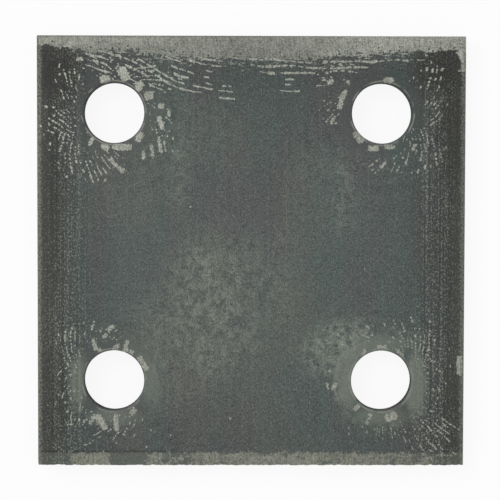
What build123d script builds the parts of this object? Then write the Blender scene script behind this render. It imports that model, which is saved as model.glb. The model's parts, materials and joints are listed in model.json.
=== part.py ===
from build123d import *

import os

# Square steel cover plate with four bolt holes, made as one piece of hot-rolled flat bar.
#
# The bar runs along Y, so the plate's two X sides keep the rounded corners of the rolling mill.
# Its two Y ends are sheared, and its four holes are punched from the top face. The origin is the
# middle of the underside. +Z runs up through the thickness, and +Y points to the head end, where
# the shear pulled the top face down. All sizes are in millimetres.

# The bar, as it left the mill.
bar_width = 101.6  # 4 inches, halfway along the plate
side_taper = 0.4  # how much wider the head end is than the foot end
thickness = 6.35  # 1/4 inch
mill_corner_radius = 1.1

# The sheared ends. The foot end has the same profile as the head end, turned over.
cut_length = 102.0
shear_roll_reach = 2.4  # how far in from the cut the face is pulled down
shear_roll_drop = 0.4  # how deep the face is pulled down at the cut
shear_land = 2.3  # the square, burnished band below the roll
shear_lean = 0.45  # how far the torn band below the land runs back from square
crisp_corner_radius = 0.3
dragged_corner_radius = 0.85  # the one corner that the shear dragged round

# The punched holes, in a square pattern that the punch stops set a little off centre.
hole_diameter = 14.2875  # 9/16 inch, for a 1/2 inch bolt
hole_spacing = 63.5  # 2 1/2 inches, both ways
pattern_shift_across = -0.8
pattern_shift_along = 1.0
punch_roll_reach = 0.45  # how far out from the hole the face is pulled down
punch_roll_drop = 0.3  # how deep the face is pulled down at the hole
punch_land = 3.3  # the straight, burnished wall below the roll
punch_breakout = 0.4  # how much the hole's radius grows where the slug tore out

half_length = cut_length / 2
tool_overrun = thickness  # how far each cutting tool reaches past the plate

# The waste that the shear takes off at the head end, seen along the cut.
shear_land_top = thickness - shear_roll_drop
shear_land_bottom = shear_land_top - shear_land
roll_start = half_length - shear_roll_reach
with BuildPart() as shear_waste:
    with BuildSketch(Plane.YZ):
        with BuildLine():
            EllipticalCenterArc(
                (roll_start, shear_land_top), shear_roll_reach, shear_roll_drop, arc_size=90
            )
            Polyline(
                (half_length, shear_land_top),
                (half_length, shear_land_bottom),
                (half_length - shear_lean, 0),
                (half_length - shear_lean, -tool_overrun),
                (half_length + tool_overrun, -tool_overrun),
                (half_length + tool_overrun, thickness + tool_overrun),
                (roll_start, thickness + tool_overrun),
                (roll_start, thickness),
            )
        make_face()
    extrude(amount=bar_width, both=True)

# What the punch takes out of one hole: the roll at the mouth, the straight land, the torn cone.
hole_radius = hole_diameter / 2
mouth_radius = hole_radius + punch_roll_reach
exit_radius = hole_radius + punch_breakout
punch_land_top = thickness - punch_roll_drop
punch_land_bottom = punch_land_top - punch_land
with BuildPart() as punched_slug:
    with BuildSketch(Plane.XZ):
        with BuildLine():
            EllipticalCenterArc(
                (mouth_radius, punch_land_top), punch_roll_reach, punch_roll_drop, 90, arc_size=90
            )
            Polyline(
                (hole_radius, punch_land_top),
                (hole_radius, punch_land_bottom),
                (exit_radius, 0),
                (exit_radius, -tool_overrun),
                (0, -tool_overrun),
                (0, thickness + tool_overrun),
                (mouth_radius, thickness + tool_overrun),
                (mouth_radius, thickness),
            )
        make_face()
    revolve(axis=Axis.Z)

# The outline of the cut length, seen from above.
half_head_width = (bar_width + side_taper / 2) / 2
half_foot_width = (bar_width - side_taper / 2) / 2
with BuildSketch() as outline:
    with BuildLine():
        Polyline(
            (half_head_width, half_length),
            (-half_head_width, half_length),
            (-half_foot_width, -half_length),
            (half_foot_width, -half_length),
            close=True,
        )
    make_face()

with BuildPart() as cover_plate:
    # The bar, with the mill's rounded corners along both sides.
    extrude(outline.sketch, amount=thickness)
    left_side, *_, right_side = faces().sort_by(Axis.X)
    for side in (left_side, right_side):
        fillet(side.edges().sort_by(SortBy.LENGTH)[-2:], mill_corner_radius)

    # The shear cuts both ends, the foot end turned over.
    add(shear_waste.part, mode=Mode.SUBTRACT)
    with Locations(Location((0, 0, thickness), (180, 0, 0))):
        add(shear_waste.part, mode=Mode.SUBTRACT)

    # The cut leaves three crisp corners and one that it dragged round.
    with BuildSketch():
        add(outline.sketch)
        foot_left = outline.vertices().group_by(Axis.Y)[0].sort_by(Axis.X)[0]
        fillet(vertices().sort_by_distance(foot_left)[0], dragged_corner_radius)
        # That corner now has two vertices, so the other three come after them.
        fillet(vertices().sort_by_distance(foot_left)[2:], crisp_corner_radius)
    extrude(amount=thickness, mode=Mode.INTERSECT)

    # The punch goes through four times.
    with Locations((pattern_shift_across, pattern_shift_along)):
        with GridLocations(hole_spacing, hole_spacing, 2, 2):
            add(punched_slug.part, mode=Mode.SUBTRACT)

cover_plate.part.label = "cover_plate"
os.makedirs("parts", exist_ok=True)
export_step(cover_plate.part, "parts/cover_plate.step")
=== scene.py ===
import json
import math

import bmesh
import bpy
from mathutils import Matrix, Vector, noise


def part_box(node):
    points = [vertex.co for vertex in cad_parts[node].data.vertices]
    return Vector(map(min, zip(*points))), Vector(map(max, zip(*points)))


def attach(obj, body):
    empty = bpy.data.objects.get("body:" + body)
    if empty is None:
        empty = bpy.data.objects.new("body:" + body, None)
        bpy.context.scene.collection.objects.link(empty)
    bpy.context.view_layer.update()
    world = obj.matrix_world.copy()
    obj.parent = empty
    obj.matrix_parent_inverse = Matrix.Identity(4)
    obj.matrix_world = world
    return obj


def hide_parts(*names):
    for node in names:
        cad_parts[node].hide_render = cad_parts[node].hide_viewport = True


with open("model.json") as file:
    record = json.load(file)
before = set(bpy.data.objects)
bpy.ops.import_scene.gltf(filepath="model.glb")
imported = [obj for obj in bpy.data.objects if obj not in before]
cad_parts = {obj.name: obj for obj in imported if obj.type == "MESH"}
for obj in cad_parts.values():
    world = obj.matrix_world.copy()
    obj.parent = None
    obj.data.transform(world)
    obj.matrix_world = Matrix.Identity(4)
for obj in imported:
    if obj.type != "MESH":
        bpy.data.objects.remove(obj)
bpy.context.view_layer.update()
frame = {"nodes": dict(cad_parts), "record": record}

bl_info = {
    "name": "Sheared Steel Plate",
    "version": (1, 0, 0),
    "blender": (4, 5, 0),
    "location": "View3D > Sidebar > Steel Plate",
    "description": "Makes a hot-rolled steel plate with sheared ends and four punched holes, and its stage",
    "category": "Add Mesh",
}

MM = 0.001
MM_IN_M = 1000.0

# The plate's own frame: origin in the middle of the underside, +Y to the head end, +Z up.
NODE = "cover_plate"
LOW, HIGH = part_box(NODE)
THICKNESS = HIGH.z - LOW.z
HALF_LENGTH = HIGH.y
HALF_WIDTH = HIGH.x

MOUNTS = {mount["name"]: mount for mount in frame["record"]["mounts"]}
PATTERN = MOUNTS["bolt_holes"]
PATTERN_CENTRE = Vector(PATTERN["pos_m"][:2])
HALF_SPACING = PATTERN["dims"]["spacing_x_mm"] / 2 * MM
HOLE_RADIUS = PATTERN["dims"]["hole_r_mm"] * MM
HOLES = {
    name: Vector(MOUNTS[name + "_hole"]["pos_m"][:2])
    for name in ("head_left", "head_right", "foot_left", "foot_right")
}

# The profile of the cuts, from the faces down.
SHEAR_LEAN = 0.45 * MM  # how far the torn band of an end runs back from square
SHEAR_LAND_STOP = 2.7 * MM  # how deep the burnished band of an end reaches
PUNCH_LAND_STOP = 3.6 * MM  # how deep the straight wall of a hole reaches
PUNCH_ROLL = 0.45 * MM  # how far out the rolled mouth of a hole reaches

FACE_SLOT, LAND_SLOT, TORN_SLOT = range(3)

# The mesh's net and its edges.
WELD = 1e-7  # vertices this near to each other are one
FLAT_ANGLE = 0.0005  # faces that turn by less than this are one
SHARP_ANGLE = math.radians(32)
UPRIGHT, LEANING = 0.05, 0.3  # how far the normals of a wall's faces may rise
FACING = 0.9  # how far a normal points the way it is taken to face
FINE_ROUND_HOLE = 8.5 * MM  # how far from a hole's edge the fine net reaches
FINE_AT_END = 2.6 * MM  # and how far from an end

# How far the torn bands wander, in millimetres, by a coarse and by a fine noise.
TEAR_GRAINS = (1.9, 0.55)
LAND_LINE = (0.28, 0.1)
HOLE_TEAR = (0.05, 0.05)
END_TEAR = (0.06, 0.07)
BURR = (0.1, 0.16)
BURR_REACH = 0.37


# ---- The plate's mesh ----


def hole_distance(point):
    """How far a point is from the nearest hole's axis."""
    return min((point.xy - centre).length for centre in HOLES.values())


def everything(faces):
    """The faces with their edges and vertices, as the bisect operator wants them."""
    edges = {edge for face in faces for edge in face.edges}
    verts = {vert for face in faces for vert in face.verts}
    return list(faces) + list(edges) + list(verts)


def cut_by_planes(mesh, faces, axis, start, stop, pitch):
    """Cuts the faces by evenly spaced planes across an axis, about one pitch apart."""
    geometry = everything(faces)
    count = max(1, round((stop - start) / pitch))
    for index in range(count + 1):
        place = axis * (start + (stop - start) * index / count)
        cut = bmesh.ops.bisect_plane(mesh, geom=geometry, dist=WELD, plane_co=place, plane_no=axis)
        geometry = cut["geom"]


def cut_net(mesh, coarse, fine):
    """Cuts the faces into a net: coarse all over, and fine round the holes and along the ends."""
    along_x, along_y, along_z = Matrix.Identity(3).col
    cut_by_planes(mesh, list(mesh.faces), along_x, LOW.x + coarse, HIGH.x - coarse, coarse)
    cut_by_planes(mesh, list(mesh.faces), along_y, LOW.y + coarse, HIGH.y - coarse, coarse)
    for centre in HOLES.values():
        reach = HOLE_RADIUS + FINE_ROUND_HOLE

        def is_near(face, centre=centre, reach=reach):
            middle = face.calc_center_median()
            return face.normal.z > FACING and (middle.xy - centre).length < reach

        for axis, value in ((along_x, centre.x), (along_y, centre.y)):
            near = [face for face in mesh.faces if is_near(face)]
            cut_by_planes(mesh, near, axis, value - reach, value + reach, fine)
    inner = HALF_LENGTH - FINE_AT_END
    ends = [face for face in mesh.faces if abs(face.calc_center_median().y) > inner]
    cut_by_planes(mesh, ends, along_x, LOW.x + fine, HIGH.x - fine, fine)
    walls = [face for face in mesh.faces if abs(face.normal.z) < LEANING]
    cut_by_planes(mesh, walls, along_z, LOW.z + fine, HIGH.z - fine, fine)


def depth_into_end(point):
    """Depth below the face that the shear pulled down: the top one at the head, the lower at the foot."""
    return THICKNESS - point.z if point.y > 0 else point.z


def zone(face):
    """Which kind of surface a face belongs to: the rolled faces, a burnished land or a torn band."""
    middle = face.calc_center_median()
    upright = abs(face.normal.z) < UPRIGHT
    leaning = not upright and abs(face.normal.z) < LEANING
    if hole_distance(middle) < HOLE_RADIUS + PUNCH_ROLL:
        if upright:
            return LAND_SLOT
        if leaning and middle.z < THICKNESS - PUNCH_LAND_STOP:
            return TORN_SLOT
    if abs(face.normal.y) > FACING and abs(middle.y) > HALF_LENGTH - SHEAR_LEAN - 0.05 * MM:
        if upright:
            return LAND_SLOT
        if leaning and depth_into_end(middle) > SHEAR_LAND_STOP - 0.2 * MM:
            return TORN_SLOT
    return FACE_SLOT


def roughen_cuts(mesh):
    """Makes the torn bands uneven, with a ragged burr along their edge, and lets the lands wander."""
    for vert in mesh.verts:
        zones = {face.material_index for face in vert.link_faces}
        if TORN_SLOT not in zones:
            continue
        place = vert.co * MM_IN_M
        coarse = noise.noise(place / TEAR_GRAINS[0])
        grain = noise.noise(place / TEAR_GRAINS[1] + Vector((7.0, 3.0, 0.0)))
        if LAND_SLOT in zones:
            # The line where the land ends and the tear begins.
            vert.co.z += (LAND_LINE[0] * coarse + LAND_LINE[1] * grain) * MM
        elif hole_distance(vert.co) < HOLE_RADIUS + 1.5 * MM:
            nearest = min(HOLES.values(), key=lambda centre: (vert.co.xy - centre).length)
            outward = (vert.co.xy - nearest).normalized()
            vert.co.xy += outward * (HOLE_TEAR[0] * coarse + HOLE_TEAR[1] * grain) * MM
        elif FACE_SLOT in zones:
            # The burr stands out from the edge, nearly as far as the land.
            out = BURR_REACH + BURR[0] * coarse + BURR[1] * grain
            vert.co.y += math.copysign(max(out, 0.0), vert.co.y) * MM
        else:
            out = END_TEAR[0] * coarse + END_TEAR[1] * grain
            vert.co.y += math.copysign(out, vert.co.y) * MM
        vert.co.y = min(max(vert.co.y, LOW.y), HIGH.y)


def plate_mesh(coarse, fine):
    """The plate's solid as one welded mesh, netted, with its cuts worked over and its zones set."""
    mesh = bmesh.new()
    mesh.from_mesh(frame["nodes"][NODE].data)
    bmesh.ops.remove_doubles(mesh, verts=mesh.verts, dist=WELD)
    bmesh.ops.dissolve_limit(mesh, angle_limit=FLAT_ANGLE, verts=mesh.verts, edges=mesh.edges)
    cut_net(mesh, coarse, fine)
    for face in mesh.faces:
        face.material_index = zone(face)
        face.smooth = True
    roughen_cuts(mesh)
    for edge in mesh.edges:
        ends = edge.link_faces
        if len(ends) == 2:
            same = ends[0].material_index == ends[1].material_index
            edge.smooth = same and ends[0].normal.angle(ends[1].normal, 0.0) < SHARP_ANGLE
    data = bpy.data.meshes.new("steel_plate")
    mesh.to_mesh(data)
    mesh.free()
    return data


# ---- The marks that the cuts left in the scale ----

# Chips of scale that have come off round each hole, in millimetres from the hole's axis:
# (x, y, length, width, turn in degrees).
CHIPS = {
    "head_left": (
        (-2.1, 8.0, 2.4, 1.8, 10), (2.3, 9.2, 3.6, 2.2, 118), (6.0, 6.3, 2.4, 1.7, 60),
        (8.2, 4.1, 2.2, 2.0, 20), (11.2, 1.6, 1.5, 1.2, 0), (11.0, -2.3, 3.3, 1.1, 108),
        (1.9, -8.1, 4.6, 1.5, 0), (-2.1, -8.1, 2.1, 1.3, -20), (-5.4, -6.7, 2.2, 0.8, 65),
        (6.0, -5.8, 2.7, 1.4, 60), (13.0, 0.1, 1.9, 0.7, 90), (10.8, -7.5, 4.1, 0.7, 100),
        (9.0, -9.0, 3.4, 0.7, 96), (6.9, -9.9, 2.4, 0.7, 86), (0.6, -12.6, 4.6, 0.8, -46),
        (14.4, -10.2, 1.6, 0.45, -45),
    ),
    "head_right": (
        (-16.6, 11.0, 1.7, 1.6, 0), (-9.3, 4.3, 2.8, 1.1, 52), (-9.9, 2.2, 2.6, 1.2, 78),
        (-11.7, -1.6, 2.0, 0.8, 65), (-5.6, -5.6, 3.0, 1.7, -50), (-2.0, -8.3, 2.6, 1.4, 0),
        (1.8, -7.9, 2.8, 0.9, 0), (1.5, 7.9, 2.5, 1.3, 0), (-12.3, 7.4, 1.6, 1.1, 40),
        (-8.1, 7.3, 0.9, 0.9, 0), (7.5, -8.1, 1.6, 0.8, 70), (0.3, -12.2, 2.0, 0.8, 42),
        (19.0, 13.0, 6.0, 0.8, 94), (17.4, 15.0, 2.8, 0.8, 130), (18.2, 9.8, 2.0, 0.7, 60),
    ),
    "foot_left": (
        (-4.7, 8.6, 3.1, 0.9, 105), (-3.5, 7.3, 1.5, 0.8, 0), (0.5, 7.9, 2.0, 1.1, 60),
        (2.8, 8.1, 2.9, 0.9, 75), (3.9, 6.8, 2.1, 0.7, -20), (6.8, 4.1, 4.0, 1.3, -58),
        (-5.1, -9.2, 2.9, 0.8, 60), (-3.1, -9.9, 4.2, 1.5, -58), (0.5, -10.0, 4.0, 1.1, 94),
        (4.5, -7.4, 2.0, 1.3, 60), (-2.2, 10.5, 1.3, 0.8, 45), (-0.8, 12.5, 2.3, 0.7, 45),
    ),
    "foot_right": (
        (2.4, -8.6, 3.0, 2.0, 20), (-2.9, -9.2, 3.0, 0.7, 72), (-11.2, -1.4, 2.1, 0.9, 65),
        (-12.8, -1.3, 1.5, 0.7, 100), (-5.8, -6.4, 1.8, 1.2, 60), (-9.4, 9.0, 1.2, 0.6, 100),
        (-4.2, 6.8, 1.6, 0.9, 55), (0.2, 8.0, 2.2, 1.0, 0), (4.6, 6.6, 2.0, 0.8, -35),
        (-12.4, 2.4, 0.9, 0.6, 0), (18.7, 3.5, 5.0, 1.4, 90),
    ),
}

# Where the scale is strained, in the same four tuples for every hole: outward from the hole
# towards its nearer side, and towards its nearer end, as (outward, endward, reach, width, turn,
# strength). "swing" and "counter" are the two families of slip lines, spirals that cross at right
# angles, and "fan" is the family of straight ones.
STRAINS = {
    "head_left": {
        "swing": (
            (-8.5, 8.6, 7.0, 3.0, 18, 0.7), (10.5, 7.0, 4.6, 3.0, 80, 0.7),
            (12.6, -3.0, 5.0, 4.2, 60, 0.7), (-11.8, -4.5, 7.0, 2.8, 75, 0.45),
        ),
        "counter": (
            (3.5, 11.4, 5.0, 2.6, 20, 0.6), (11.0, -10.0, 5.4, 3.2, 90, 0.75),
            (2.5, -12.6, 7.0, 2.8, -10, 0.6),
        ),
    },
    "head_right": {
        "swing": (
            (-12.3, 1.2, 4.2, 2.2, 80, 0.5), (11.0, 7.5, 5.0, 4.0, 60, 0.35),
            (12.8, 0.5, 5.5, 2.4, 90, 0.4), (-11.0, 10.0, 6.0, 2.0, 0, 0.3),
        ),
        "counter": (
            (10.0, -9.0, 5.6, 4.4, 60, 0.6), (2.0, -12.6, 5.4, 2.4, 0, 0.5),
        ),
    },
    "foot_left": {
        "swing": (
            (11.5, 1.5, 5.4, 3.0, 90, 0.5), (10.0, 8.0, 4.8, 2.8, 90, 0.5),
        ),
        "counter": (
            (10.6, -8.0, 6.2, 2.6, 90, 0.75), (3.5, -11.4, 4.6, 3.0, 0, 0.5),
            (2.0, 11.4, 8.0, 3.4, 0, 0.35),
        ),
    },
    "foot_right": {
        "swing": ((12.6, -1.0, 5.6, 2.6, 90, 0.45),),
        "counter": (
            (9.0, -9.0, 6.0, 4.6, 45, 0.7), (0.0, -11.0, 6.0, 2.4, 0, 0.25),
        ),
        "fan": (
            (12.4, 12.6, 6.0, 4.6, 45, 0.7), (2.0, 12.6, 8.0, 2.0, 0, 0.35),
        ),
    },
}

# Rows of flaked dashes below the head strip, in millimetres: (x, y, reach, width, turn, strength).
FLOWS = (
    (-24.0, 42.8, 18.0, 3.4, -15, 0.9), (-10.0, 45.2, 13.0, 1.8, -2, 0.95),
    (14.0, 44.8, 17.0, 2.2, 2, 1.4), (11.5, 40.0, 7.5, 1.0, 0, 1.4), (36.0, 46.2, 9.0, 1.4, 0, 0.5),
)

# The darkest scale, along the sides and in the head corners, in the same millimetres.
DARK_PATCHES = (
    (-46.2, 42.5, 5.6, 7.5, 0, 1.0), (44.5, 43.0, 6.0, 6.0, 0, 1.0),
    (47.4, 27.0, 2.8, 15.0, 0, 0.85), (-47.0, 8.0, 3.2, 26.0, 0, 0.6),
    (-46.8, -33.0, 3.2, 12.0, 0, 0.7), (45.6, -2.0, 4.2, 16.0, 0, 0.4),
    (47.4, -36.0, 2.8, 12.0, 0, 0.35),
)

# Paler, cloudy patches of the top face, in millimetres: (x, y, reach, width, turn, strength).
PALE_PATCHES = (
    (-9.0, -12.0, 16.0, 12.0, 90, 0.42), (-16.0, -17.0, 9.0, 10.0, 90, 0.36),
    (2.0, -6.0, 9.0, 12.0, 0, 0.22), (-22.0, -28.0, 9.0, 8.0, 0, 0.22),
    (21.0, -23.0, 9.0, 6.0, 20, 0.7), (39.4, -32.0, 2.4, 7.5, 0, 1.5),
    (22.4, -31.0, 3.0, 8.0, 0, 0.65), (31.0, -21.5, 9.0, 3.0, 0, 0.5),
    (31.0, -39.5, 7.0, 2.4, 0, 0.5), (-41.4, -31.0, 2.2, 7.0, 0, 0.9),
    (-23.6, -31.0, 2.4, 6.0, 0, 0.45), (-33.0, -39.6, 6.0, 2.2, 0, 0.55),
    (-10.0, -24.0, 6.0, 8.0, 20, 0.42), (-12.0, -6.0, 5.0, 9.0, 15, 0.5),
    (-17.5, 21.0, 2.6, 11.0, 0, 0.3), (21.5, 14.0, 3.5, 10.0, 0, 0.25),
    (-15.0, 30.0, 8.0, 12.0, 60, 0.16), (16.0, 20.0, 5.0, 9.0, 90, 0.12),
)


FAMILIES = ("swing", "counter", "fan")
CHIPS_REACH = 27.0  # chips lie within this distance of a hole's axis, in millimetres
NO_CHIP = 5.0  # the distance stored where there is no chip near
STRAIN_BELOW = 0.35  # share of the strain that shows on the underside
CORNER = 0.35  # radius of a chip's corners, as a share of its width
FALL_OFF = 0.9  # how steeply a stroke fades at its edge


def seen_from(point, x, y, turn):
    """A point as seen from (x, y), with the axes turned by so many degrees."""
    away = Vector((point.x - x, point.y - y))
    away.rotate(Matrix.Rotation(math.radians(-turn), 2))
    return away


def mark_distance(point, mark):
    """Signed distance in millimetres from a point to the edge of a rounded, turned patch."""
    x, y, length, width, turn = mark
    away = seen_from(point, x, y, turn)
    past_end, past_side = abs(away.x) - length / 2, abs(away.y) - width / 2
    corner = CORNER * width
    over = Vector((max(past_end + corner, 0.0), max(past_side + corner, 0.0)))
    inside = min(max(past_end, past_side), 0.0)
    return over.length - corner + min(inside + corner, 0.0)


def stroke(point, mark):
    """How strongly one soft, oval brush stroke covers a point."""
    x, y, reach, width, turn, strength = mark
    away = seen_from(point, x, y, turn)
    spread = (away.x / reach) ** 2 + (away.y / width) ** 2
    return strength * math.exp(-FALL_OFF * spread * spread)


def paint_marks(data):
    """Stores where scale is chipped, strained, pale or dark as attributes of the plate's vertices."""
    layers = {key: [] for key in ("chip", *FAMILIES, "flow", "pale", "dark")}
    for vert in data.vertices:
        point = vert.co.xy
        name = min(HOLES, key=lambda key: (point - HOLES[key]).length)
        from_hole = (point - HOLES[name]) * MM_IN_M
        outward = -from_hole.x if "left" in name else from_hole.x
        endward = from_hole.y if "head" in name else -from_hole.y
        folded = Vector((outward, endward))
        is_top = vert.co.z > THICKNESS / 2
        chip = NO_CHIP
        if is_top and from_hole.length < CHIPS_REACH:
            chip = min(mark_distance(from_hole, mark) for mark in CHIPS[name])
        layers["chip"].append(chip)
        for family in FAMILIES:
            strokes = (stroke(folded, mark) for mark in STRAINS[name].get(family, ()))
            layers[family].append(max(strokes, default=0.0) * (1.0 if is_top else STRAIN_BELOW))
        on_plate = point * MM_IN_M
        layers["flow"].append(max(stroke(on_plate, mark) for mark in FLOWS) if is_top else 0.0)
        layers["pale"].append(max(stroke(on_plate, mark) for mark in PALE_PATCHES))
        layers["dark"].append(max(stroke(on_plate, mark) for mark in DARK_PATCHES))
    for name, values in layers.items():
        data.attributes.new(name, "FLOAT", "POINT").data.foreach_set("value", values)


# ---- Shader wiring ----


class Wires:
    """Adds nodes to one tree. An input takes a number, a tuple or another node's output."""

    def __init__(self, tree):
        self.tree = tree

    def feed(self, socket, value):
        if isinstance(value, bpy.types.NodeSocket):
            self.tree.links.new(value, socket)
        else:
            socket.default_value = value

    def node(self, kind, inputs=None, **settings):
        made = self.tree.nodes.new("ShaderNode" + kind)
        for name, value in settings.items():
            setattr(made, name, value)
        for key, value in (inputs or {}).items():
            self.feed(made.inputs[key], value)
        return made

    def math(self, operation, *values):
        return self.node("Math", dict(enumerate(values)), operation=operation).outputs[0]

    def chain(self, operation, values):
        """The first value worked on by each of the others in turn."""
        total = values[0]
        for value in values[1:]:
            total = self.math(operation, total, value)
        return total

    def add(self, *values):
        return self.chain("ADD", values)

    def times(self, *values):
        return self.chain("MULTIPLY", values)

    def largest(self, *values):
        return self.chain("MAXIMUM", values)

    def less(self, a, b):
        return self.math("SUBTRACT", a, b)

    def size(self, value):
        return self.math("ABSOLUTE", value)

    def step(self, value, start, stop):
        """0 at start and 1 at stop, smoothly, in either direction."""
        keys = {"Value": value, "From Min": start, "From Max": stop}
        return self.node("MapRange", keys, interpolation_type="SMOOTHSTEP").outputs[0]

    def spread(self, value, low, high):
        """Stretches 0..1 to low..high."""
        keys = {"Value": value, "To Min": low, "To Max": high}
        return self.node("MapRange", keys).outputs[0]

    def share(self, value, start, stop):
        """How far a value is from start (0) to stop (1), straight and not cut off."""
        keys = {"Value": value, "From Min": start, "From Max": stop}
        return self.node("MapRange", keys, clamp=False).outputs[0]

    def vector(self, x, y, z):
        return self.node("CombineXYZ", {0: x, 1: y, 2: z}).outputs[0]

    def split(self, vector):
        return self.node("SeparateXYZ", {0: vector}).outputs

    def scaled(self, vector, x, y=None, z=None):
        """Each axis divided by its own length, so that a pattern's grain has that length."""
        y, z = (x if y is None else y), (x if z is None else z)
        keys = {0: vector, 1: (1 / x, 1 / y, 1 / z)}
        return self.node("VectorMath", keys, operation="MULTIPLY").outputs[0]

    def moved(self, vector, x, y):
        return self.node("VectorMath", {0: vector, 1: (x, y, 0.0)}, operation="ADD").outputs[0]

    def noise(self, vector, detail=2.0, roughness=0.5):
        keys = {"Vector": vector, "Scale": 1.0, "Detail": detail, "Roughness": roughness}
        return self.node("TexNoise", keys).outputs[0]

    def wander(self, vector, **settings):
        """The same noise, but to either side of 0."""
        return self.less(self.noise(vector, **settings), 0.5)

    def dots(self, vector):
        """Distance to the nearest of scattered points, and a random colour for each."""
        found = self.node("TexVoronoi", {"Vector": vector, "Scale": 1.0, "Randomness": 1.0})
        return found.outputs["Distance"], found.outputs["Color"]

    def random(self, vector):
        found = self.node("TexWhiteNoise", {"Vector": vector}, noise_dimensions="3D")
        return found.outputs["Value"], found.outputs["Color"]

    def curve(self, value, points):
        """A smooth curve through (in, out) points, both from 0 to 1."""
        made = self.node("FloatCurve", {"Value": value})
        line = made.mapping.curves[0]
        for _ in points[2:]:
            line.points.new(0.5, 0.5)
        for point, place in zip(line.points, sorted(points)):
            point.location = place
            point.handle_type = "AUTO_CLAMPED"
        made.mapping.update()
        return made.outputs[0]

    def mix(self, amount, a, b, blend="MIX"):
        keys = {0: amount, 6: a, 7: b}
        return self.node("Mix", keys, data_type="RGBA", blend_type=blend).outputs[2]

    def mix_value(self, amount, a, b):
        return self.node("Mix", {0: amount, 2: a, 3: b}, data_type="FLOAT").outputs[0]

    def shade(self, colour, factor):
        """A colour or a vector multiplied by a value."""
        return self.node("VectorMath", {0: colour, "Scale": factor}, operation="SCALE").outputs[0]

    def attribute(self, name):
        return self.node("Attribute", attribute_name=name).outputs["Fac"]

    def millimetres(self):
        """Object coordinates in millimetres."""
        return self.shade(self.node("TexCoord").outputs["Object"], MM_IN_M)


def new_group(name, inputs, outputs):
    """An empty shader node group: its wires, its input sockets and its output sockets, by name."""
    tree = bpy.data.node_groups.new(name, "ShaderNodeTree")
    for key, (kind, value) in inputs.items():
        socket = tree.interface.new_socket(key, in_out="INPUT", socket_type="NodeSocket" + kind)
        if value is not None:
            socket.default_value = value
    for key in outputs:
        tree.interface.new_socket(key, in_out="OUTPUT", socket_type="NodeSocketFloat")
    source = tree.nodes.new("NodeGroupInput").outputs
    target = tree.nodes.new("NodeGroupOutput").inputs
    return Wires(tree), source, target


# Rows of dashes: what runs across is a share of the rows' spacing, what runs along is a share of
# the dashes' pitch.
ROW_BEND = 1.1
ROW_RAGGED = 0.42
ROW_SHIFT = 9.0
CELL_RAGGED = 0.5
SHORTEST_DASH = 0.02
LONGEST_DASH = 0.52
DASH_HALF_WIDTHS = (0.1, 0.2)
DASH_EDGE = 0.05
QUIET_AND_BUSY = (0.3, 1.5)  # how the chance of a dash differs from stretch to stretch


def dash_rows_group():
    """Short, uneven dashes in rows one unit apart, as where scale cracks along slip lines. A row is a
    string of cells one unit long, and each cell holds one dash or none."""
    inputs = {
        "Across": ("Float", 0.0),
        "Along": ("Float", 0.0),
        "Amount": ("Float", 0.5),
        "Pitch": ("Float", 1.0),
        "Shortest": ("Float", SHORTEST_DASH),
        "Seed": ("Float", 0.0),
    }
    wires, source, target = new_group("Dash rows", inputs, ["Mask"])
    seed = source["Seed"]
    flat = wires.vector(source["Across"], source["Along"], seed)
    bend = wires.wander(wires.scaled(flat, 2.0, 4.0, 1.0), detail=1.0)
    ragged = wires.wander(wires.scaled(flat, 0.34, 0.5, 1.0))
    across = wires.add(source["Across"], wires.times(bend, ROW_BEND), wires.times(ragged, ROW_RAGGED))
    row = wires.math("FLOOR", across)
    from_row = wires.less(wires.less(across, row), 0.5)
    start, _ = wires.random(wires.vector(row, 0.37, seed))
    along = wires.add(source["Along"], wires.times(start, ROW_SHIFT), wires.times(ragged, CELL_RAGGED))
    cell = wires.math("FLOOR", along)
    from_cell = wires.size(wires.less(wires.less(along, cell), 0.5))
    _, chances = wires.random(wires.vector(row, cell, wires.add(seed, 0.5)))
    chance, long, wide = wires.split(chances)
    half_length = wires.spread(wires.times(long, long), source["Shortest"], LONGEST_DASH)
    half_width = wires.spread(wide, *DASH_HALF_WIDTHS)
    over = wires.times(wires.largest(wires.less(from_cell, half_length), 0.0), source["Pitch"])
    away = wires.math("SQRT", wires.add(wires.times(over, over), wires.times(from_row, from_row)))
    shape = wires.step(wires.less(away, half_width), DASH_EDGE, -DASH_EDGE)
    busy = wires.noise(wires.vector(row, wires.times(cell, 0.21), seed), detail=0.0)
    busy = wires.step(busy, 0.34, 0.6)
    odds = wires.times(source["Amount"], wires.spread(busy, *QUIET_AND_BUSY))
    there = wires.math("LESS_THAN", chance, odds)
    wires.feed(target["Mask"], wires.times(shape, there))


STEEL_GRAIN = 2.4  # how much the finest grain changes the tint
STEEL_ROUGH = 0.006  # how far the streaks and the grain stand out, in millimetres


def steel_group():
    """Clean steel: drawn streaks, fine grain and cloudy stain, as a tint round 1 and a height."""
    inputs = {
        "Place": ("Vector", None),
        "Streak": ("Float", 0.3),
        "Stain": ("Float", 0.3),
    }
    wires, source, target = new_group("Steel", inputs, ["Tint", "Height"])
    place = source["Place"]
    streaks = wires.wander(wires.scaled(place, 0.22, 3.2, 3.2), roughness=0.6)
    grain = wires.wander(wires.scaled(place, 0.36), roughness=0.7)
    stain = wires.wander(wires.scaled(place, 4.0, 2.4, 2.4), detail=3.0)
    tint = wires.add(
        1.0,
        wires.times(streaks, source["Streak"]),
        wires.times(grain, STEEL_GRAIN),
        wires.times(stain, source["Stain"]),
    )
    height = wires.add(wires.times(streaks, STEEL_ROUGH), wires.times(grain, STEEL_ROUGH))
    wires.feed(target["Tint"], wires.largest(tint, 0.05))
    wires.feed(target["Height"], height)


# ---- The materials ----

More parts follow.
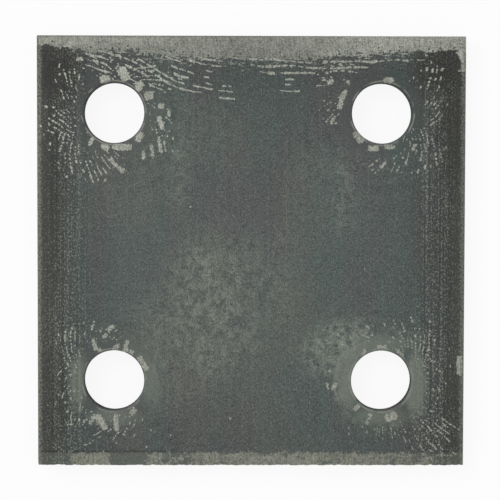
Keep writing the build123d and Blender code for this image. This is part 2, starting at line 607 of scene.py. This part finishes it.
# Lengths in the materials are in millimetres, and colours are linear.
WHITE = (1.0, 1.0, 1.0, 1.0)
FLOOR_GREY = (0.85, 0.85, 0.85, 1.0)
TEAL_SCALE = (0.068, 0.088, 0.082, 1.0)
WARM_SCALE = (0.088, 0.094, 0.084, 1.0)
PALE_SCALE = (0.166, 0.187, 0.156, 1.0)
SIDE_SCALE = (0.06, 0.065, 0.055, 1.0)
DARK_SCALE = (0.042, 0.045, 0.038, 1.0)
FOOT_BAND = (0.14, 0.155, 0.125, 1.0)
FOOT_STEEL = (0.7, 0.69, 0.66, 1.0)
PRICK = (0.2, 0.21, 0.18, 1.0)
WORN_RIM = (0.21, 0.21, 0.175, 1.0)
# Colour of the painted highlight round the holes' mouths.
MOUTH_HIGHLIGHT = (0.24, 0.25, 0.215, 1.0)
# Colour of the painted shade inside the holes.
SHADED_HOLE_WALL = (0.05, 0.048, 0.043, 1.0)
RUST = (0.1, 0.075, 0.05, 1.0)
TORN_HOLLOW = (0.05, 0.045, 0.04, 1.0)

HOLE_EDGE = HOLE_RADIUS * MM_IN_M
LEFT, RIGHT = LOW.x * MM_IN_M, HIGH.x * MM_IN_M

# From the left side (0) to the right (1): how wide the head strip is, how well the foot strip is
# bared, how far the flow lines have dropped and how bright the head strip is.
HEAD_REACH = (
    (0.0, 0.46), (0.06, 0.5), (0.1, 0.7), (0.2, 0.66), (0.28, 0.9), (0.4, 1.0), (0.6, 1.0),
    (0.72, 0.92), (0.8, 0.74), (0.92, 0.66), (1.0, 0.66),
)
FOOT_COVER = (
    (0.0, 0.25), (0.07, 0.3), (0.1, 0.9), (0.16, 0.9), (0.18, 0.3), (0.24, 0.3), (0.26, 0.62),
    (0.33, 0.5), (0.4, 0.62), (0.6, 0.66), (0.85, 0.62), (0.92, 0.5), (1.0, 0.44),
)
FLOW_DROP = ((0.0, 0.0), (0.1, 0.04), (0.38, 0.82), (0.5, 0.95), (0.7, 1.0), (1.0, 0.96))
STRIP_TONE = ((0.0, 0.62), (0.12, 0.66), (0.3, 0.7), (0.5, 0.66), (0.65, 0.75), (0.8, 1.0), (1.0, 1.0))

# Painted shade: how light the scale is from a side (0) to the middle (1), and from the head end to the foot
# end.
PAINTED_SIDE_SHADE = (
    (0.0, 0.85), (0.03, 0.76), (0.09, 0.7), (0.13, 0.7), (0.2, 0.76), (0.3, 0.9), (0.5, 1.0),
    (1.0, 1.0),
)
PAINTED_END_SHADE = (
    (0.0, 0.7), (0.07, 0.7), (0.14, 0.8), (0.3, 0.95), (0.5, 1.0), (0.8, 0.97), (0.95, 0.86),
    (1.0, 0.9),
)

# Dashes round the holes: spacing of the rows and pitch of the dashes, as shares of the radius.
SPIRAL = (0.115, 0.09)
RAY = (0.058, 0.055)

# Dashes of the flow lines below the head strip.
FLOW_SPACING = 1.45
FLOW_PITCH = 1.9
FLOW_SHORTEST = 0.26
FLOW_DEPTH = 14.0


def new_material(name):
    """A material with only its Principled shader and output, and its wires."""
    material = bpy.data.materials.new(name)
    material.use_nodes = True
    shader = material.node_tree.nodes["Principled BSDF"]
    return material, Wires(material.node_tree), shader


def feed_shader(wires, shader, values, height, strength):
    """Feeds the shader's inputs, and its normal from a height in millimetres."""
    bump = wires.node("Bump", {"Height": height, "Strength": strength, "Distance": MM})
    wires.feed(shader.inputs["Normal"], bump.outputs["Normal"])
    for key, value in values.items():
        wires.feed(shader.inputs[key], value)


def steel(wires, place, streak, stain):
    """The tint and the height of clean steel."""
    keys = {"Place": place, "Streak": streak, "Stain": stain}
    made = wires.node("Group", node_tree=bpy.data.node_groups["Steel"], inputs=keys)
    return made.outputs["Tint"], made.outputs["Height"]


def dash_rows(wires, across, along, spacing, pitch, amount, seed, shortest=SHORTEST_DASH):
    """Dashes one pitch apart in rows one spacing apart, where across and along are in those units."""
    keys = {
        "Across": wires.times(across, 1 / spacing),
        "Along": wires.times(along, 1 / pitch),
        "Amount": amount,
        "Pitch": pitch / spacing,
        "Shortest": shortest,
        "Seed": seed,
    }
    return wires.node("Group", node_tree=bpy.data.node_groups["Dash rows"], inputs=keys).outputs[0]


def hole_polar(wires, x, y):
    """Polar coordinates about the nearest hole, folded so that every corner of the plate lies the
    same way: the radius in millimetres, the turn in radians and a different seed for each hole."""
    from_middle_x = wires.less(x, PATTERN_CENTRE.x * MM_IN_M)
    from_middle_y = wires.less(y, PATTERN_CENTRE.y * MM_IN_M)
    outward = wires.less(wires.size(from_middle_x), HALF_SPACING * MM_IN_M)
    endward = wires.less(wires.size(from_middle_y), HALF_SPACING * MM_IN_M)
    squared = wires.add(wires.times(outward, outward), wires.times(endward, endward))
    radius = wires.math("SQRT", squared)
    turn = wires.math("ARCTAN2", endward, outward)
    sides = wires.times(wires.math("SIGN", from_middle_x), 3.0)
    ends = wires.times(wires.math("SIGN", from_middle_y), 7.0)
    return radius, turn, wires.add(sides, ends, 20.0)


class Where:
    """Where a point of the plate lies, as values of one shader, in millimetres."""

    def __init__(self, wires):
        self.place = wires.millimetres()
        self.x, y, z = wires.split(self.place)
        self.across = wires.share(self.x, LEFT, RIGHT)
        self.from_side = wires.less(HALF_WIDTH * MM_IN_M, wires.size(self.x))
        # The foot was cut with the bar turned over, so the underside has the same strips the
        # other way round.
        above_middle = wires.less(z, THICKNESS / 2 * MM_IN_M)
        face_y = wires.times(y, wires.math("SIGN", above_middle))
        self.on_face = wires.step(wires.size(above_middle), 1.9, 2.5)
        self.from_head = wires.less(HALF_LENGTH * MM_IN_M, face_y)
        self.from_foot = wires.add(face_y, HALF_LENGTH * MM_IN_M)
        self.radius, self.turn, self.seed = hole_polar(wires, self.x, y)
        self.rings = wires.math("LOGARITHM", self.radius, math.e)


def slip_lines(wires, at):
    """Flaked dashes along the slip lines round the holes: two families of spirals and a straight fan."""
    outwards, backwards = wires.less(at.rings, at.turn), wires.add(at.rings, at.turn)
    families = (
        ("swing", outwards, backwards, SPIRAL, at.seed),
        ("counter", backwards, outwards, SPIRAL, wires.add(at.seed, 41.0)),
        ("fan", at.turn, at.rings, RAY, wires.add(at.seed, 83.0)),
    )
    dashes = [
        dash_rows(wires, across, along, *shares, wires.attribute(name), seed)
        for name, across, along, shares, seed in families
    ]
    return wires.largest(*dashes)


def flow_lines(wires, at):
    """Thin rows of flaked dashes beside the head strip, which drop away from the left-hand corner."""
    drop = wires.times(wires.curve(at.across, FLOW_DROP), FLOW_DEPTH)
    depth = wires.less(at.from_head, drop)
    flow = wires.attribute("flow")
    return dash_rows(wires, depth, at.x, FLOW_SPACING, FLOW_PITCH, flow, 5.0, shortest=FLOW_SHORTEST)


def head_strip(wires, at, width):
    """The strip that the shear strained bare along the head end, wide in the middle and ragged
    below, and how far a point is below it."""
    below = wires.less(at.from_head, wires.times(wires.curve(at.across, HEAD_REACH), width))
    lobes = wires.wander(wires.scaled(at.place, 1.7, 1.4, 1.0))
    ragged = wires.wander(wires.scaled(at.place, 0.5), detail=3.0, roughness=0.7)
    beyond = wires.add(below, wires.times(lobes, 3.4), wires.times(ragged, 3.6))
    veins = wires.noise(wires.scaled(at.place, 0.95, 0.55, 1.0), detail=3.0, roughness=0.6)
    frayed = wires.less(veins, wires.add(wires.times(wires.size(below), 0.05), 0.51))
    middle = (wires.step(at.across, 0.08, 0.16), wires.step(at.across, 0.9, 0.82))
    frayed = wires.times(wires.step(frayed, 0.0, 0.03), *middle)
    strip = wires.largest(wires.step(beyond, 0.08, -0.08), frayed)
    return wires.times(strip, at.on_face), below


def foot_strip(wires, at, width):
    """The narrower strip along the foot end: where it is bare, which is only in patches, the whole band,
    and the crease along its edge on the left, where painted shade darkens the scale."""
    past = wires.less(at.from_foot, width)
    patches = wires.noise(wires.scaled(at.place, 2.0, 1.6, 1.0), detail=3.0, roughness=0.65)
    ragged = wires.wander(wires.scaled(at.place, 0.6), detail=3.0, roughness=0.7)
    lobes = wires.wander(wires.scaled(at.place, 1.5, 1.2, 1.0))
    uneven = wires.add(wires.times(lobes, 3.0), wires.times(ragged, 3.4))
    edge = wires.step(wires.add(past, uneven), 0.1, -0.1)
    cover = wires.add(wires.curve(at.across, FOOT_COVER), wires.times(ragged, 0.9))
    bare = wires.times(edge, wires.step(wires.less(cover, patches), 0.02, 0.08))
    band = wires.step(wires.add(past, lobes), 0.25, -0.25)
    left = wires.step(at.across, 0.36, 0.28)
    # Where painted shade darkens the crease along the band's edge, on the left.
    crease_shade = wires.times(wires.step(past, -0.1, 0.2), wires.step(past, 0.9, 0.3), left)
    return [wires.times(mask, at.on_face) for mask in (bare, band, crease_shade)]


def specks(wires, at, ragged):
    """Small specks of bare steel, thinly scattered."""
    near, picked = wires.dots(wires.scaled(at.place, 4.6))
    there = wires.math("GREATER_THAN", wires.split(picked)[0], 0.84)
    return wires.times(wires.step(wires.add(near, wires.times(ragged, 0.16)), 0.075, 0.05), there)


def worn_rim(wires, at, ragged):
    """Bright wear along the mill corners."""
    wear = wires.noise(wires.scaled(at.place, 0.32, 0.45, 0.45), roughness=0.6)
    edge = wires.step(wires.add(at.from_side, wires.times(ragged, 2.0)), 1.5, 0.8)
    return wires.times(edge, wires.step(wear, 0.36, 0.6))


def painted_mouth_highlight(wires, at):
    """Painted highlight: thin, patchy bright lines round the holes' rolled mouths."""
    wear = wires.noise(wires.vector(wires.times(at.turn, 3.0), at.radius, at.seed))
    line = wires.times(wires.step(at.radius, 7.35, 7.5), wires.step(at.radius, 7.85, 7.65))
    return wires.times(line, wires.step(wear, 0.42, 0.6))


def scale_colour(wires, at, mottle, halo, slate):
    """The scale's own colour: banded and clouded, pale in patches and round the holes, dark beside
    the mill corners."""
    bands = wires.noise(wires.scaled(at.place, 11.0, 46.0, 20.0), detail=1.0)
    clouds = wires.noise(wires.scaled(wires.moved(at.place, 31.0, 7.0), 13.0, 24.0, 20.0))
    colour = wires.mix(wires.step(bands, 0.42, 0.66), slate, TEAL_SCALE)
    colour = wires.mix(wires.times(wires.step(clouds, 0.45, 0.7), 0.8), colour, WARM_SCALE)
    blotches = wires.noise(wires.scaled(at.place, 2.4, 3.0, 3.0), detail=4.0, roughness=0.62)
    islands = wires.times(wires.step(blotches, 0.45, 0.54), 0.9)
    patchy = wires.largest(wires.add(wires.share(mottle, 0.42, 0.66), islands), 0.0)
    patchy = wires.mix_value(halo, patchy, 1.15)
    colour = wires.mix(wires.times(wires.attribute("pale"), patchy), colour, PALE_SCALE)
    side = wires.add(at.from_side, wires.times(wires.less(blotches, 0.5), 4.0))
    colour = wires.mix(wires.times(wires.step(side, 7.0, 3.6), 0.85), colour, SIDE_SCALE)
    return wires.mix(wires.attribute("dark"), colour, DARK_SCALE)


def painted_shade_and_grit(wires, at, grit, calm, crease_shade):
    """How light the scale is: painted shade makes it darker along the sides, the ends and the crease, and
    it is uneven with grit and with faint rings round the holes."""
    # Painted shade: the scale is made darker towards the sides and the ends.
    side = wires.curve(wires.math("DIVIDE", at.from_side, HALF_WIDTH * MM_IN_M), PAINTED_SIDE_SHADE)
    end = wires.curve(wires.math("DIVIDE", at.from_head, 2 * HALF_LENGTH * MM_IN_M), PAINTED_END_SHADE)
    rings = wires.times(at.rings, 9.0)
    spirals = wires.vector(wires.less(rings, at.turn), wires.add(rings, at.turn), at.seed)
    faint = wires.times(wires.step(at.radius, 8.0, 11.0), wires.step(at.radius, 30.0, 14.0), 0.5)
    ghost = wires.times(wires.wander(spirals, detail=1.0), faint)
    fine = wires.add(wires.add(1.0, wires.times(grit, calm)), ghost)
    # The crease is darkened with painted shade.
    return wires.times(side, end, wires.largest(fine, 0.3), wires.spread(crease_shade, 1.0, 0.62), 1.08)


def pricked(wires, at, colour, calm):
    """The colour with fine bright pricks in columns, where the rolls marked the bar near its sides."""
    columns = wires.wander(wires.scaled(at.place, 0.45, 50.0, 50.0), detail=1.0)
    pricks = wires.noise(wires.scaled(at.place, 0.3, 0.46, 0.46), detail=1.0)
    sides = wires.times(wires.step(at.from_side, 1.2, 5.0), wires.step(at.from_side, 13.5, 8.5))
    colour = wires.shade(colour, wires.add(1.0, wires.times(columns, sides, 0.9)))
    level = wires.add(pricks, wires.times(columns, 0.28), wires.times(sides, 0.04))
    cover = wires.times(wires.spread(sides, 0.5, 0.95), wires.spread(wires.attribute("dark"), 1.0, 0.3))
    return wires.mix(wires.times(wires.step(level, 0.59, 0.7), cover, calm), colour, PRICK)


def pits(wires, at, ragged, below_head):
    """Dark pits in the lower part of the head strip."""
    near, picked = wires.dots(at.place)
    return wires.times(
        wires.step(wires.add(near, wires.times(ragged, 0.5)), 0.32, 0.22),
        wires.math("GREATER_THAN", wires.split(picked)[0], 0.6),
        wires.step(below_head, -3.0, -0.4),
    )


def mill_scale_material(settings):
    """Blue-grey rolling scale, flaked to bare steel where the cuts strained it."""
    material, wires, shader = new_material("mill_scale")
    at = Where(wires)
    ragged = wires.wander(wires.scaled(at.place, 0.5), roughness=0.6)
    grain = wires.wander(wires.scaled(at.place, 0.3, 0.42, 0.42), roughness=0.7)
    mottle = wires.noise(wires.scaled(at.place, 0.9, 1.1, 1.0), detail=4.0, roughness=0.75)
    uneven = wires.less(mottle, 0.5)
    halo = wires.step(at.radius, 13.0, 8.5)
    calm = wires.spread(halo, 1.0, 0.45)

    # Where the steel is bare.
    head, below_head = head_strip(wires, at, settings.head_strip_width * MM_IN_M)
    foot, foot_band, crease_shade = foot_strip(wires, at, settings.foot_strip_width * MM_IN_M)
    chips = wires.step(wires.add(wires.attribute("chip"), wires.times(ragged, 1.2)), 0.06, -0.06)
    slips, flow, speck = slip_lines(wires, at), flow_lines(wires, at), specks(wires, at, ragged)
    bare = wires.largest(head, foot, chips, slips, flow, speck)
    pit = pits(wires, at, ragged, below_head)
    bare = wires.times(bare, wires.less(1.0, wires.times(pit, head)))

    # The scale.
    grit = wires.add(wires.times(grain, 2.6), wires.times(uneven, 0.8))
    colour = scale_colour(wires, at, mottle, halo, (*settings.scale_colour, 1.0))
    # Painted shade along the sides, the ends and the crease, with the scale's grit.
    colour = wires.shade(colour, painted_shade_and_grit(wires, at, grit, calm, crease_shade))
    colour = wires.mix(wires.times(foot_band, 0.3), colour, FOOT_BAND)
    colour = pricked(wires, at, colour, calm)
    colour = wires.mix(wires.times(worn_rim(wires, at, ragged), 0.75), colour, WORN_RIM)

    # The bare steel.
    tint, steel_height = steel(wires, at.place, 1.1, 0.6)
    tone = wires.mix(head, WHITE, wires.curve(at.across, STRIP_TONE))
    tone = wires.mix(foot, tone, FOOT_STEEL)
    steel_colour = wires.shade(tuple(settings.steel_colour), tint)
    colour = wires.mix(bare, colour, wires.mix(1.0, steel_colour, tone, blend="MULTIPLY"))
    # A painted highlight along the holes' rolled mouths.
    colour = wires.mix(wires.times(painted_mouth_highlight(wires, at), 0.7), colour, MOUTH_HIGHLIGHT)

    height = wires.add(
        wires.times(wires.less(1.0, bare), 0.03),
        wires.times(grain, 0.012),
        wires.times(uneven, 0.02),
        steel_height,
    )
    values = {
        "Base Color": colour,
        "Metallic": wires.times(bare, 0.85),
        "Roughness": wires.mix_value(bare, wires.spread(mottle, 0.36, 0.56), 0.42),
        "Specular IOR Level": 0.3,
    }
    feed_shader(wires, shader, values, height, 0.5)
    return material


def land_material(settings):
    """The bright bands that the blade and the punch burnished, streaked from face to face, with painted
    shade that makes the walls of the holes dark and dull.
    """
    material, wires, shader = new_material("burnished_land")
    place = wires.millimetres()
    tint, height = steel(wires, wires.scaled(place, 1.0, 1.0, 9.0), 0.2, 0.5)
    rust = wires.noise(wires.scaled(place, 2.2, 2.2, 5.0), detail=3.0)
    x, y, _ = wires.split(place)
    radius, _, _ = hole_polar(wires, x, y)
    # Painted shade: the walls inside the holes are dark and dull, not bright steel.
    hole_wall_shade = wires.step(radius, HOLE_EDGE + 0.6, HOLE_EDGE + 0.3)
    colour = wires.mix(hole_wall_shade, (*settings.land_colour, 1.0), SHADED_HOLE_WALL)
    colour = wires.shade(colour, tint)
    values = {
        "Base Color": wires.mix(wires.times(wires.step(rust, 0.5, 0.7), 0.6), colour, RUST),
        "Metallic": wires.spread(hole_wall_shade, 1.0, 0.2),
        "Roughness": wires.mix_value(hole_wall_shade, wires.spread(rust, 0.25, 0.5), 0.85),
        "Specular IOR Level": 0.2,
    }
    feed_shader(wires, shader, values, height, 0.7)
    return material


def torn_material(settings):
    """The dull, coarse bands where the steel tore through."""
    material, wires, shader = new_material("torn_steel")
    place = wires.millimetres()
    tint, height = steel(wires, place, 0.0, 0.8)
    lumps, _ = wires.dots(wires.scaled(place, 0.35))
    colour = wires.shade(tuple(settings.torn_colour), tint)
    values = {
        "Base Color": wires.mix(wires.times(wires.step(lumps, 0.25, 0.7), 0.5), colour, TORN_HOLLOW),
        "Metallic": 0.6,
        "Roughness": 0.6,
    }
    feed_shader(wires, shader, values, wires.add(wires.times(lumps, 0.12), height), 0.8)
    return material


# ---- Settings, operators and panel ----


class PlateSettings(bpy.types.PropertyGroup):
    """Sizes and colours of the plate's finish."""

    coarse_net: bpy.props.FloatProperty(
        name="Coarse net",
        description="Size of the mesh's cells away from the cuts",
        default=2.0 * MM,
        unit="LENGTH",
    )
    fine_net: bpy.props.FloatProperty(
        name="Fine net",
        description="Size of the cells round the holes and at the ends",
        default=0.5 * MM,
        unit="LENGTH",
    )
    head_strip_width: bpy.props.FloatProperty(
        name="Head strip",
        description="Widest reach of the bare strip at the head end",
        default=5.1 * MM,
        unit="LENGTH",
    )
    foot_strip_width: bpy.props.FloatProperty(
        name="Foot strip",
        description="Reach of the patchy strip at the foot end",
        default=3.0 * MM,
        unit="LENGTH",
    )
    scale_colour: bpy.props.FloatVectorProperty(
        name="Scale",
        description="Colour of the rolling scale",
        default=(0.072, 0.078, 0.076),
        subtype="COLOR",
    )
    steel_colour: bpy.props.FloatVectorProperty(
        name="Bare steel",
        description="Colour of the steel under the scale",
        default=(0.33, 0.34, 0.295),
        subtype="COLOR",
    )
    land_colour: bpy.props.FloatVectorProperty(
        name="Burnished steel",
        description="Colour of the burnished bands",
        default=(0.42, 0.42, 0.4),
        subtype="COLOR",
    )
    torn_colour: bpy.props.FloatVectorProperty(
        name="Torn steel",
        description="Colour of the torn bands",
        default=(0.24, 0.235, 0.22),
        subtype="COLOR",
    )


class StageSettings(bpy.types.PropertyGroup):
    """The camera's place and the light."""

    camera_height: bpy.props.FloatProperty(
        name="Camera height",
        description="Height of the camera above the top face",
        default=450 * MM,
        unit="LENGTH",
    )
    view_width: bpy.props.FloatProperty(
        name="View width",
        description="Width of the top face's plane that the camera sees",
        default=118.65 * MM,
        unit="LENGTH",
    )
    world_light: bpy.props.FloatProperty(
        name="World light",
        description="Strength of the even light from all round",
        default=0.7,
        min=0.0,
    )
    lamp_power: bpy.props.FloatProperty(
        name="Lamp power",
        description="Power of the large soft lamp",
        default=3.2,
        unit="POWER",
        min=0.0,
    )


# The stage, in metres. The camera is a little towards the head end and the left.
CAMERA_PLACE = (-5 * MM, 15 * MM)
CAMERA_TARGET = (-0.31 * MM, 0.31 * MM)
CAMERA_ROLL = math.radians(0.12)
CAMERA_CLIP = (0.01, 10.0)
SENSOR = 36.0
LAMP_PLACE = (-0.45, 0.35, 0.75)
LAMP_SIZE = 0.6
FLOOR_HALF_SIZE = 3.0
FLOOR_GAP = 0.02 * MM  # keeps the floor clear of the underside
FLOOR_GLOW = 0.9  # share of plain white in what the camera sees of the floor
FLAT_FACE_WEIGHT = 90  # how much large faces lead the shading


class STEELPLATE_OT_make_plate(bpy.types.Operator):
    """Makes the plate with its scale, bare steel and cut faces"""

    bl_idname = "steelplate.make_plate"
    bl_label = "Make plate"

    def execute(self, context):
        settings = context.scene.steel_plate
        data = plate_mesh(settings.coarse_net, settings.fine_net)
        paint_marks(data)
        dash_rows_group()
        steel_group()
        data.materials.append(mill_scale_material(settings))
        data.materials.append(land_material(settings))
        data.materials.append(torn_material(settings))
        plate = bpy.data.objects.new("steel_plate", data)
        context.scene.collection.objects.link(plate)
        weighted = plate.modifiers.new("Flat faces lead", "WEIGHTED_NORMAL")
        weighted.keep_sharp = True
        weighted.weight = FLAT_FACE_WEIGHT
        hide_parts(NODE)
        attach(plate, "root")
        return {"FINISHED"}


class STEELPLATE_OT_make_stage(bpy.types.Operator):
    """Makes the pale floor, the soft light and the camera above the plate"""

    bl_idname = "steelplate.make_stage"
    bl_label = "Make stage"

    def execute(self, context):
        scene = context.scene
        settings = scene.steel_stage
        make_floor()
        make_light(settings)
        make_camera(settings)
        scene.view_settings.view_transform = "Standard"
        return {"FINISHED"}


def make_floor():
    """A pale floor under the plate, white to the camera and to reflections, that keeps its shadow."""
    mesh = bmesh.new()
    bmesh.ops.create_grid(mesh, x_segments=1, y_segments=1, size=FLOOR_HALF_SIZE)
    bmesh.ops.translate(mesh, verts=mesh.verts, vec=(0.0, 0.0, LOW.z - FLOOR_GAP))
    data = bpy.data.meshes.new("floor")
    mesh.to_mesh(data)
    mesh.free()
    floor = bpy.data.objects.new("floor", data)
    bpy.context.scene.collection.objects.link(floor)
    material, wires, shader = new_material("floor_white")
    shader.inputs["Base Color"].default_value = FLOOR_GREY
    shader.inputs["Roughness"].default_value = 0.9
    rays = wires.node("LightPath").outputs
    seen = wires.largest(rays["Is Camera Ray"], rays["Is Glossy Ray"], rays["Is Transmission Ray"])
    glow = wires.node("Emission", {"Color": WHITE, "Strength": 1.0})
    both = wires.node("MixShader", {0: wires.times(seen, FLOOR_GLOW)})
    wires.feed(both.inputs[1], shader.outputs[0])
    wires.feed(both.inputs[2], glow.outputs[0])
    wires.feed(material.node_tree.nodes["Material Output"].inputs["Surface"], both.outputs[0])
    data.materials.append(material)


def make_light(settings):
    """Even white light from all round, and one large soft lamp from the upper left."""
    scene = bpy.context.scene
    world = bpy.data.worlds.new("white_room")
    world.use_nodes = True
    wires = Wires(world.node_tree)
    background = world.node_tree.nodes["Background"]
    background.inputs["Color"].default_value = WHITE
    is_camera = wires.node("LightPath").outputs["Is Camera Ray"]
    wires.feed(background.inputs["Strength"], wires.spread(is_camera, settings.world_light, 1.0))
    scene.world = world
    lamp = bpy.data.lights.new("soft_lamp", "AREA")
    lamp.shape = "DISK"
    lamp.size = LAMP_SIZE
    lamp.energy = settings.lamp_power
    holder = bpy.data.objects.new("soft_lamp", lamp)
    holder.location = LAMP_PLACE
    holder.rotation_euler = (-holder.location).to_track_quat("-Z", "Y").to_euler()
    scene.collection.objects.link(holder)


def make_camera(settings):
    """A camera nearly straight above the plate."""
    scene = bpy.context.scene
    data = bpy.data.cameras.new("camera")
    camera = bpy.data.objects.new("camera", data)
    place = Vector((*CAMERA_PLACE, HIGH.z + settings.camera_height))
    target = Vector((*CAMERA_TARGET, HIGH.z))
    back = (place - target).normalized()
    up = Vector((-math.sin(CAMERA_ROLL), 1.0, 0.0))
    right = up.cross(back).normalized()
    up = back.cross(right)
    turn = Matrix((right, up, back)).transposed().to_4x4()
    camera.matrix_world = Matrix.Translation(place) @ turn
    data.sensor_width = SENSOR
    data.lens = SENSOR * (place - target).length / settings.view_width
    data.clip_start, data.clip_end = CAMERA_CLIP
    scene.collection.objects.link(camera)
    scene.camera = camera


class STEELPLATE_PT_panel(bpy.types.Panel):
    """Lists the plate's and the stage's settings and makers"""

    bl_label = "Steel Plate"
    bl_idname = "STEELPLATE_PT_panel"
    bl_space_type = "VIEW_3D"
    bl_region_type = "UI"
    bl_category = "Steel Plate"

    def draw(self, context):
        layout = self.layout
        for settings, maker in (
            (context.scene.steel_plate, "steelplate.make_plate"),
            (context.scene.steel_stage, "steelplate.make_stage"),
        ):
            box = layout.box()
            for name in settings.__annotations__:
                box.prop(settings, name)
            box.operator(maker)


CLASSES = (
    PlateSettings,
    StageSettings,
    STEELPLATE_OT_make_plate,
    STEELPLATE_OT_make_stage,
    STEELPLATE_PT_panel,
)


def register():
    for made in CLASSES:
        bpy.utils.register_class(made)
    bpy.types.Scene.steel_plate = bpy.props.PointerProperty(type=PlateSettings)
    bpy.types.Scene.steel_stage = bpy.props.PointerProperty(type=StageSettings)


def unregister():
    del bpy.types.Scene.steel_stage
    del bpy.types.Scene.steel_plate
    for made in reversed(CLASSES):
        bpy.utils.unregister_class(made)


def main():
    register()
    bpy.ops.steelplate.make_plate()
    bpy.ops.steelplate.make_stage()


if __name__ == "__main__":
    main()
